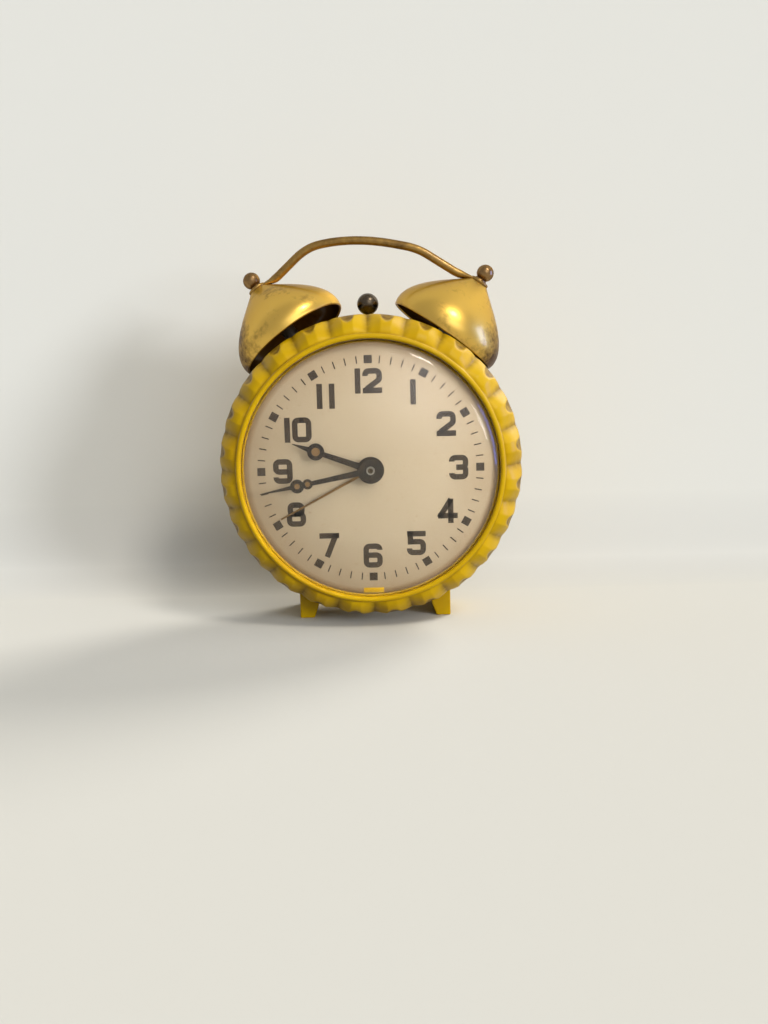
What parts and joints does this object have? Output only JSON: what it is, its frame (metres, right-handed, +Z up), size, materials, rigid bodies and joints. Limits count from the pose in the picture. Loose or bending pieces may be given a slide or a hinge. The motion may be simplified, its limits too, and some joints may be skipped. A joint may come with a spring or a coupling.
{
  "type": "mechanical alarm clock",
  "caption": "Wind-up alarm clock on two feet: round case with a petalled bezel, domed crystal, numbered dial, bells on posts, a hammer between them and a wire carrying handle.",
  "frame": {"origin": "on the table, under the middle of the clock's bounding box", "axes": "+Z up, the dial faces -Y, +X to the right as the dial is read"},
  "size_m": [0.0956, 0.0658, 0.1238],
  "materials": {
    "yellow_paint": "gloss enamel, worn at the edges",
    "clear_acrylic": "clear, slightly scuffed",
    "ivory_paint": "matt, aged",
    "bell_brass": "polished, tarnished",
    "dark_brass": "tarnished",
    "gunmetal": "browned",
    "black_lacquer": "satin",
    "steel": "bright",
    "spring_steel": "blued grey",
    "movement_brass": "bright",
    "key_brass": "satin"
  },
  "bodies": {
    "case": {"case_drum": "yellow_paint", "bezel": "yellow_paint", "crystal": "clear_acrylic", "dial": "ivory_paint", "back_cover": "yellow_paint", "cover_screws": "steel", "foot_left": "yellow_paint", "foot_right": "yellow_paint", "bell_post_left": "steel", "bell_post_right": "steel", "bell_left": "bell_brass", "bell_right": "bell_brass", "handle": "bell_brass", "ball_nut_left": "dark_brass", "ball_nut_right": "dark_brass", "post_nuts": "steel", "front_plate": "movement_brass", "back_plate": "movement_brass", "plate_pillars": "movement_brass", "pillar_nuts": "steel", "cover_standoffs": "steel", "dial_feet": "movement_brass", "time_mainspring": "spring_steel", "alarm_mainspring": "spring_steel", "hairspring": "spring_steel", "alarm_release_spring": "spring_steel"},
    "time_winding": {"time_arbor": "steel", "time_ratchet": "steel", "time_key": "key_brass"},
    "time_great": {"time_great_wheel": "movement_brass"},
    "time_click": {"time_click": "steel"},
    "center": {"center_wheel": "movement_brass"},
    "third": {"third_wheel": "movement_brass"},
    "fourth": {"fourth_wheel": "movement_brass"},
    "escape": {"escape_wheel": "movement_brass"},
    "pallet": {"pallet_lever": "steel"},
    "balance": {"balance_wheel": "movement_brass"},
    "regulator": {"regulator": "movement_brass"},
    "minute": {"center_arbor": "steel", "cannon_pinion": "steel", "minute_hand": "black_lacquer", "set_knob": "key_brass"},
    "minute_reduction": {"minute_wheel": "movement_brass"},
    "hour": {"hour_wheel": "movement_brass", "hour_hand": "black_lacquer"},
    "alarm_set": {"alarm_set_arbor": "steel", "alarm_set_knob": "key_brass"},
    "alarm_dial": {"alarm_wheel": "movement_brass", "alarm_hand": "dark_brass"},
    "alarm_winding": {"alarm_arbor": "steel", "alarm_ratchet": "steel", "alarm_key": "key_brass"},
    "alarm_great": {"alarm_great_wheel": "movement_brass"},
    "alarm_click": {"alarm_click": "steel"},
    "alarm_escape": {"alarm_escape_wheel": "movement_brass"},
    "hammer": {"hammer_arbor": "steel", "hammer_rod": "steel", "hammer_head": "gunmetal"},
    "alarm_stop": {"alarm_stop": "key_brass"}
  },
  "joints": [
    {"name": "fourth_wheel_turn", "type": "hinge", "parent": "case", "child": "fourth", "pos_m": [0.01031, 0.0055, 0.03065], "axis": [0, 1, 0], "continuous": true},
    {"name": "time_great_wheel_turn", "type": "hinge", "parent": "case", "child": "time_great", "pos_m": [-0.017, 0.0055, 0.051], "axis": [0, 1, 0], "continuous": true},
    {"name": "center_wheel_turn", "type": "hinge", "parent": "case", "child": "center", "pos_m": [0, 0.0055, 0.051], "axis": [0, 1, 0], "continuous": true},
    {"name": "third_wheel_turn", "type": "hinge", "parent": "case", "child": "third", "pos_m": [0, 0.0055, 0.0366], "axis": [0, 1, 0], "continuous": true},
    {"name": "escape_wheel_turn", "type": "hinge", "parent": "case", "child": "escape", "pos_m": [0.00301, 0.0055, 0.02269], "axis": [0, 1, 0], "continuous": true},
    {"name": "time_click_lift", "type": "hinge", "parent": "time_great", "child": "time_click", "pos_m": [-0.01447, 0.0055, 0.0588], "axis": [0, 1, 0], "range_deg": [0, 12]},
    {"name": "time_winding_turn", "type": "hinge", "parent": "case", "child": "time_winding", "pos_m": [-0.017, 0.0055, 0.051], "axis": [0, 1, 0], "continuous": true},
    {"name": "pallet_rock", "type": "hinge", "parent": "case", "child": "pallet", "pos_m": [-0.00516, 0.0055, 0.02197], "axis": [0, 1, 0], "range_deg": [-4, 4]},
    {"name": "balance_swing", "type": "hinge", "parent": "case", "child": "balance", "pos_m": [-0.0155, 0.0055, 0.0255], "axis": [0, 1, 0], "range_deg": [-150, 150]},
    {"name": "regulator_turn", "type": "hinge", "parent": "case", "child": "regulator", "pos_m": [-0.0155, 0.0055, 0.0255], "axis": [0, 1, 0], "range_deg": [-25, 25]},
    {"name": "minute_hand_turn", "type": "hinge", "parent": "case", "child": "minute", "pos_m": [0, 0.0055, 0.051], "axis": [0, 1, 0], "continuous": true},
    {"name": "minute_wheel_turn", "type": "hinge", "parent": "case", "child": "minute_reduction", "pos_m": [-0.00287, 0.0055, 0.04311], "axis": [0, 1, 0], "continuous": true},
    {"name": "hour_hand_turn", "type": "hinge", "parent": "case", "child": "hour", "pos_m": [0, 0.0055, 0.051], "axis": [0, 1, 0], "continuous": true},
    {"name": "alarm_set_turn", "type": "hinge", "parent": "case", "child": "alarm_set", "pos_m": [-0.00493, 0.0055, 0.06453], "axis": [0, 1, 0], "continuous": true},
    {"name": "alarm_hand_turn", "type": "hinge", "parent": "case", "child": "alarm_dial", "pos_m": [0, 0.0055, 0.051], "axis": [0, 1, 0], "continuous": true},
    {"name": "alarm_winding_turn", "type": "hinge", "parent": "case", "child": "alarm_winding", "pos_m": [0.017, 0.0055, 0.051], "axis": [0, 1, 0], "continuous": true},
    {"name": "alarm_great_wheel_turn", "type": "hinge", "parent": "case", "child": "alarm_great", "pos_m": [0.017, 0.0055, 0.051], "axis": [0, 1, 0], "continuous": true},
    {"name": "alarm_escape_wheel_turn", "type": "hinge", "parent": "case", "child": "alarm_escape", "pos_m": [0.00982, 0.0055, 0.06641], "axis": [0, 1, 0], "continuous": true},
    {"name": "alarm_click_lift", "type": "hinge", "parent": "alarm_great", "child": "alarm_click", "pos_m": [0.01447, 0.0055, 0.0588], "axis": [0, 1, 0], "range_deg": [-12, 0]},
    {"name": "hammer_swing", "type": "hinge", "parent": "case", "child": "hammer", "pos_m": [0, 0.0055, 0.073], "axis": [0, 1, 0], "range_deg": [-9, 9]},
    {"name": "alarm_stop_turn", "type": "hinge", "parent": "case", "child": "alarm_stop", "pos_m": [0.013, 0.0055, 0.078], "axis": [0, 1, 0], "range_deg": [0, 20]}
  ],
  "couplings": [
    {"joint": "third_wheel_turn", "follows": "fourth_wheel_turn", "ratio": -0.13333},
    {"joint": "center_wheel_turn", "follows": "fourth_wheel_turn", "ratio": 0.016667},
    {"joint": "time_great_wheel_turn", "follows": "fourth_wheel_turn", "ratio": -0.0022222},
    {"joint": "escape_wheel_turn", "follows": "fourth_wheel_turn", "ratio": -8},
    {"joint": "minute_wheel_turn", "follows": "minute_hand_turn", "ratio": -0.33333},
    {"joint": "hour_hand_turn", "follows": "minute_hand_turn", "ratio": 0.083333},
    {"joint": "alarm_hand_turn", "follows": "alarm_set_turn", "ratio": -0.2},
    {"joint": "alarm_escape_wheel_turn", "follows": "alarm_great_wheel_turn", "ratio": -7.5}
  ]
}
